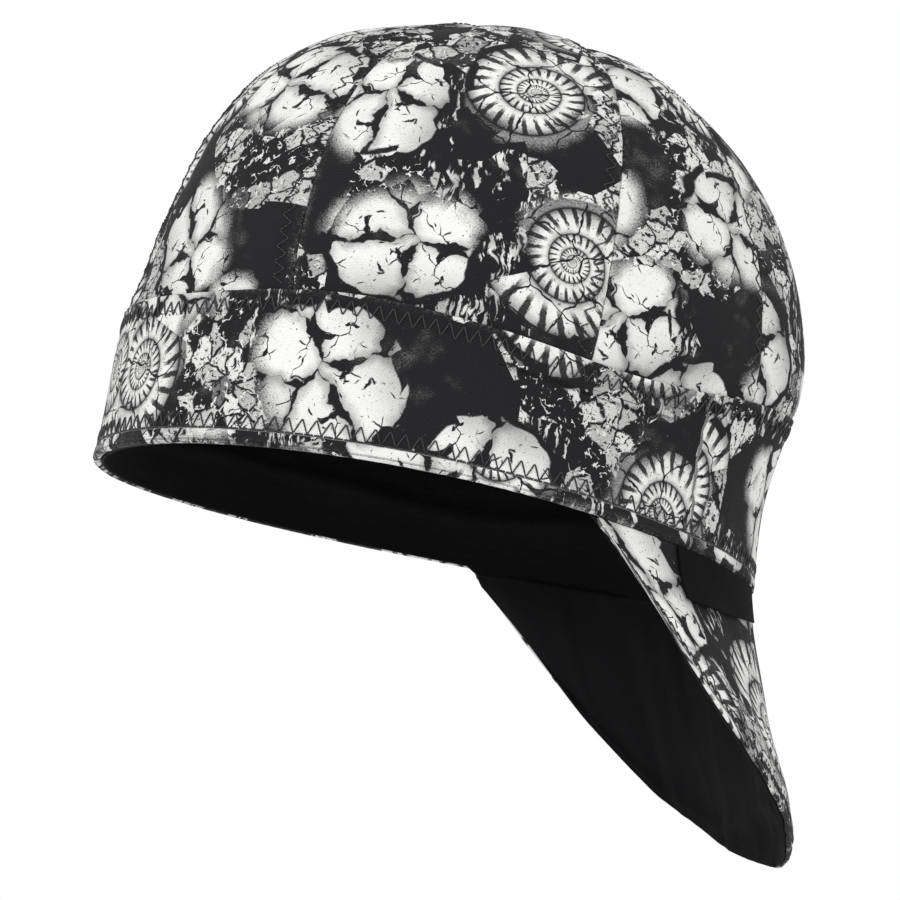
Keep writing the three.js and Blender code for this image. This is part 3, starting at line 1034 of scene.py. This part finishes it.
def worn_cotton(net, cloth, weave, wrinkle, fuzz_size, thread_depth):
    """Normal of wrinkled, fuzzy cotton; wrinkle is a size, a depth and a strength"""
    size, depth, strength = wrinkle
    wrinkles = net.bump(net.noise(cloth, size, 3.0, 0.5), depth, strength)
    height = weave + net.noise(cloth, fuzz_size, 3.0, 0.7) * 0.5
    return net.bump(height, thread_depth, 0.7, wrinkles)


def spiral_motif(net, local, size):
    """Coiled fossil shell: how far inside its outline a place is, and its brightness"""
    growth, ribs_round, rib_bend = 1.95, 23, -4.5
    x, y, _ = net.parts(local)
    turn = net.math("ARCTAN2", y, x) / FULL_TURN
    radius = net.highest(net.length(local), 0.2)
    inside = size * net.math("POWER", growth, turn * -1) - radius
    whorl = turn + net.math("LOGARITHM", radius / size, growth)
    across = net.math("FRACT", whorl + 20.0)
    tube = net.math("POWER", net.math("SINE", across * math.pi), 0.55)
    ribs = net.math("SINE", turn * (FULL_TURN * ribs_round) + across * rib_bend)
    line = ribs + (net.noise(local, 2.2, 3.0, 0.65) * 1.8 - 0.9)
    groove = net.step(line, -0.15, -0.6) * net.step(across, 0.2, 0.6)
    suture = net.step(across, 0.0, 0.1)
    pits = net.step(net.noise(local, 1.5, 3.0, 0.7), 0.33, 0.41)
    blotch = net.step(net.noise(local, 8.0, 3.0, 0.6), 0.3, 0.62, 0.62, 1.0)
    split = net.step(net.cell_edges(net.warp(local, 6.0, 5.0), 13.0), 0.012, 0.03)
    lit = tube * (1.0 - groove * 0.95) * suture * 1.2
    return inside, lit * (pits * blotch * split)


def stone_motif(net, local, size):
    """Cracked stone: how far inside its outline a place is, and its brightness"""
    rough = net.warp(net.vector("MULTIPLY", local, (1.0, 1.28, 1.0)), 15.0, 10.0)
    inside = size * 1.2 - net.length(rough)
    bent = net.warp(net.warp(local, 10.0, 9.0), 2.5, 1.8)
    edges = net.cell_edges(bent, 21.0)
    tones, _ = net.cells(bent, 21.0)
    uneven = net.step(net.noise(local, 9.0), 0.36, 0.66)
    crack = net.step(edges - uneven * 0.08, -0.012, 0.01)
    bevel = net.step(edges, 0.01, 0.2, 0.5, 1.0)
    hair = net.step(net.cell_edges(bent, 7.5), 0.045, 0.015) * net.step(uneven, 0.35, 0.6)
    hollow = net.step(net.noise(bent, 9.5, 3.0, 0.55), 0.635, 0.61)
    pits = net.step(net.noise(bent, 1.3, 3.0, 0.7), 0.3, 0.37)
    shade = net.step(net.parts(local)[1] / size, -1.35, -0.1, 0.3, 1.0)
    lit = crack * hollow * (pits * shade) * (1.0 - hair)
    return inside, lit * (bevel * net.step(tones[0], 0, 1, 0.86, 1.2))


def rubble(net, cloth):
    """Gritty broken shards and scribbled lines"""
    bent = net.warp(net.warp(cloth, 9.0, 8.0), 1.8, 1.2)
    tones, _ = net.cells(bent, 7.0)
    shards = net.step(net.cell_edges(bent, 7.0), 0.03, 0.1) * net.step(tones[0], 0.28, 0.36)
    shards = shards * net.step(tones[0], 0.45, 1.0, 0.62, 1.0)
    pits = net.step(net.noise(bent, 1.5, 3.0, 0.65), 0.4, 0.47)
    scribble = net.noise(net.warp(cloth, 5.0, 8.0), 4.2)
    line = net.step(abs(scribble - 0.5), 0.03, 0.012)
    broken = net.step(net.noise(cloth, 3.2), 0.5, 0.55)
    return net.highest(shards * pits, line * broken)


def splinters(net, cloth):
    """Split wood with torn ends"""
    bent = net.warp(net.warp(cloth, 12.0, 8.0), 2.0, 0.8)
    grain = net.noise(net.vector("MULTIPLY", bent, (1.0, 0.16, 1.0)), 1.5, 3.0, 0.6)
    ends = net.noise(net.vector("MULTIPLY", bent, (1.0, 0.4, 1.0)), 7.0, 3.0, 0.65)
    shade = net.step(net.noise(cloth, 6.0), 0.3, 0.7, 0.5, 1.0)
    return net.step(grain, 0.5, 0.56) * net.step(ends, 0.5, 0.54) * shade


def print_brightness(net, cloth):
    """All-over print of coiled fossils and cracked stones among rubble: 0 black, 1 white"""
    spacing, evenness, least_size, more_size = 52.0, 0.66, 16.5, 5.0
    stone_over, rubble_under, splinters_over = 0.46, 0.44, 0.81
    picks, middle = net.cells(cloth, spacing, evenness)
    turning = {"Vector": net.vector("SUBTRACT", cloth, middle), "Angle": picks[0] * FULL_TURN}
    turned = net.node("VectorRotate", turning, rotation_type="Z_AXIS")
    size = picks[1] * more_size + least_size
    spiral, spiral_light = spiral_motif(net, turned, size)
    stone, stone_light = stone_motif(net, turned, size)
    is_stone = net.math("GREATER_THAN", picks[2], stone_over)
    light = net.mix(spiral_light, stone_light, is_stone)
    chips, _ = net.cells(net.warp(cloth, 6.0, 3.0), 9.5)
    inside = net.mix(spiral, stone, is_stone) - net.step(chips[1], 0.7, 0.71, 0.0, 3.2)

    # Each motif fades out in a spray of ink on one side and ends sharply on the other
    grit = net.noise(cloth, 0.55, 2.0, 0.7)
    spread = net.step(net.parts(turned)[1], -4.0, 12.0, 0.5, 6.5)
    sprayed = inside + (grit * 1.2 - 0.6) * spread
    motifs = net.step(sprayed / spread, -1.0, 0.55) * light

    # Between the motifs are slabs of rubble, splinters or plain black
    slabs, _ = net.cells(net.warp(cloth, 60.0, 14.0), 25.0, 0.85, "MANHATTAN")
    broken = net.math("LESS_THAN", slabs[0], rubble_under) * rubble(net, cloth)
    split = net.math("GREATER_THAN", slabs[0], splinters_over) * splinters(net, cloth)
    patches = net.highest(broken, split) * net.step(inside, -2.6, -3.6) * 0.92
    specks = net.step(net.noise(cloth, 0.8, 2.0, 0.6), 0.72, 0.8) * net.step(inside, -9.0, 0.0)
    cloud = net.step(net.noise(cloth, 19.0, 3.0, 0.6), 0.56, 0.8, 0.0, 0.2)
    dust = cloud * net.step(grit, 0.4, 0.62)
    bright = net.highest(motifs, patches, specks, dust)
    return net.highest(bright - net.step(grit, 0.42, 0.25, 0.0, 0.5), 0.0)


def print_material():
    net = Net("printed_cotton")
    cloth, _ = net.attribute("cloth")
    _, wear = net.attribute("wear")
    weave = net.weave(cloth, 0.52)
    bright = print_brightness(net, cloth)
    threads = weave * 0.34 - 0.2
    mottle = net.noise(cloth, 11.0, 5.0, 0.7) * 0.36 - 0.2
    rubbed = wear * net.step(net.noise(cloth, 1.1, 3.0, 0.7), 0.45, 0.75, 0.0, 0.13)
    faded = net.step(weave, 0.35, 0.85) * 0.013
    level = net.node("Clamp", {0: bright + (threads + mottle) * bright + rubbed + faded})
    rough = net.noise(cloth, 5.0, 3.0, 0.6) * 0.12 + 0.8
    normal = worn_cotton(net, cloth, weave, (12.0, 0.0006, 0.5), 0.9, 0.00012)
    finish = {"specular": 0.09, "sheen": 0.02, "sheen_rough": 0.5}
    return net.surface((INK_BLACK, BONE_WHITE), level, rough, normal, **finish)


def lining_material():
    net = Net("black_lining_cotton")
    cloth, _ = net.attribute("cloth")
    weave = net.weave(cloth, 0.48)
    mottle = net.noise(cloth, 20.0, 4.0, 0.6)
    lint = net.step(net.noise(cloth, 0.9, 2.0, 0.7), 0.7, 0.8)
    share = weave * 0.3 + mottle * 0.5 + lint * 0.25
    normal = worn_cotton(net, cloth, weave, (14.0, 0.0009, 0.6), 0.8, 0.0001)
    finish = {"specular": 0.06, "sheen": 0.01, "sheen_rough": 0.6}
    return net.surface(shades(LINING_BLACK, 3.2), share, mottle * 0.12 + 0.82, normal, **finish)


def label_material():
    net = Net("woven_label_tape")
    cloth, _ = net.attribute("cloth")
    x, y, _ = net.parts(cloth)
    ribs = abs(net.math("SINE", y * (math.pi / 0.42)))
    ends = abs(net.math("SINE", x * (math.pi / 0.3)))
    weave = ribs * 0.65 + ends * 0.35
    mottle = net.noise(cloth, 6.0, 3.0, 0.6)
    share = weave * 0.5 + mottle * 0.3
    normal = net.bump(weave, 0.0001, 0.8)
    return net.surface(shades(LABEL_BLACK, 3), share, mottle * 0.15 + 0.76, normal, specular=0.05)


def thread_material():
    net = Net("black_sewing_thread")
    cloth, _ = net.attribute("cloth")
    x, y, _ = net.parts(cloth)
    ply = net.math("SINE", (x * 1.6 + y) * FULL_TURN) * 0.5 + 0.5
    rough = net.noise(cloth, 1.0) * 0.2 + 0.45
    return net.surface(shades(THREAD_BLACK, 2.5), ply, rough, net.bump(ply, 0.00004, 0.8))


def floor_material():
    net = Net("pale_floor")
    tone = net.noise(net.node("TexCoord", {}, "Object"), 1.5)
    return net.surface(shades(FLOOR_PALE, 0.97), tone, rough=0.9)


# Stage


def add_camera():
    """Camera at the photograph's angle, rolled and turned until the origin falls on its pixel"""
    a, e, roll = (math.radians(x) for x in (CAMERA_AZIMUTH, CAMERA_ELEVATION, CAMERA_ROLL))
    level = Vector((math.cos(a), math.sin(a), 0))
    back = Vector((math.sin(a) * math.cos(e), -math.cos(a) * math.cos(e), math.sin(e)))
    upright = back.cross(level)
    right = math.cos(roll) * level + math.sin(roll) * upright
    up = math.cos(roll) * upright - math.sin(roll) * level
    reach = CAMERA_DISTANCE / (CAMERA_LENS / CAMERA_SENSOR * PICTURE_SIDE)
    aside = (PICTURE_SIDE / 2 - ORIGIN_PIXEL[0]) * reach
    above = (ORIGIN_PIXEL[1] - PICTURE_SIDE / 2) * reach
    place = back * CAMERA_DISTANCE
    forward = (right * aside + up * above - place).normalized()
    side = forward.cross(up).normalized()
    data = bpy.data.cameras.new("photo_camera")
    data.lens, data.sensor_width = CAMERA_LENS, CAMERA_SENSOR
    data.clip_start, data.clip_end = CAMERA_CLIP
    camera = bpy.data.objects.new("photo_camera", data)
    turned = Matrix((side, side.cross(forward), -forward)).transposed().to_4x4()
    camera.matrix_world = Matrix.Translation(place) @ turned
    bpy.context.scene.collection.objects.link(camera)
    bpy.context.scene.camera = camera


def add_light(name, place, size, power):
    data = bpy.data.lights.new(name, "AREA")
    data.shape, data.size, data.energy = "DISK", size, power
    light = bpy.data.objects.new(name, data)
    light.location = place
    light.rotation_mode = "QUATERNION"
    light.rotation_quaternion = (Vector(LIGHT_TARGET) - Vector(place)).to_track_quat("-Z", "Y")
    bpy.context.scene.collection.objects.link(light)


def add_floor():
    """Large round pale floor, well below the cap"""
    count, level, radius = 96, -0.45, 14.0
    angle = np.linspace(0, 2 * math.pi, count, endpoint=False)
    rim = np.stack([radius * np.cos(angle), radius * np.sin(angle), level + 0 * angle], axis=-1)
    floor = new_object("pale_floor", rim / MM, [list(range(count))], floor_material())


def add_stage():
    add_camera()
    scene = bpy.context.scene
    scene.world = bpy.data.worlds.new("studio")
    scene.world.use_nodes = True
    background = scene.world.node_tree.nodes["Background"]
    background.inputs["Color"].default_value = (1, 1, 1, 1)
    background.inputs["Strength"].default_value = 1.0
    scene.view_settings.view_transform = "Standard"
    add_light("key_light", (1.5, -1.1, 1.3), 0.9, 16)
    add_light("fill_light", (1.7, -0.2, 0.2), 1.2, 3)
    add_floor()


def dress_cap():
    cotton, black = print_material(), lining_material()
    tape, thread = label_material(), thread_material()
    for gore in make_gores():
        sheet = gore_cloth(gore, cotton)
        rows = [crown_stitches(gore, end, thread) for end in gore.stitched]
        declare(sheet, gore.name, rows)
    sheet = band_cloth(cotton)
    rows = [
        ring_stitches("band_top_stitches", BAND_TOP_ZIGZAG, True, thread),
        ring_stitches("band_rim_stitches", BAND_RIM_ZIGZAG, False, thread),
        straight_ring("band_binding_stitches", BAND_BINDING + 0.2, 2.9, thread),
    ]
    declare(sheet, "headband", rows)
    declare(lining_cloth(black), "cap_lining")
    sheet = bill_cloth(cotton)
    rows = [bill_stitches("bill_edge_stitches", BILL_ZIGZAG, thread)]
    declare(sheet, "bill_shell", rows)
    declare(bill_lining_cloth(black), "bill_lining")
    declare(label_cloth(tape), "woven_label")


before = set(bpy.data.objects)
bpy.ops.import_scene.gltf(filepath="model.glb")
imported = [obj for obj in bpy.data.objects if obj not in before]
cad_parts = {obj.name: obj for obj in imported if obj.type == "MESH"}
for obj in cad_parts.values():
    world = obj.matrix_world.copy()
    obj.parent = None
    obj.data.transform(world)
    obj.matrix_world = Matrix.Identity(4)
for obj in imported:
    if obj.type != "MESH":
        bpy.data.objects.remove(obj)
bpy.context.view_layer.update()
add_stage()
dress_cap()
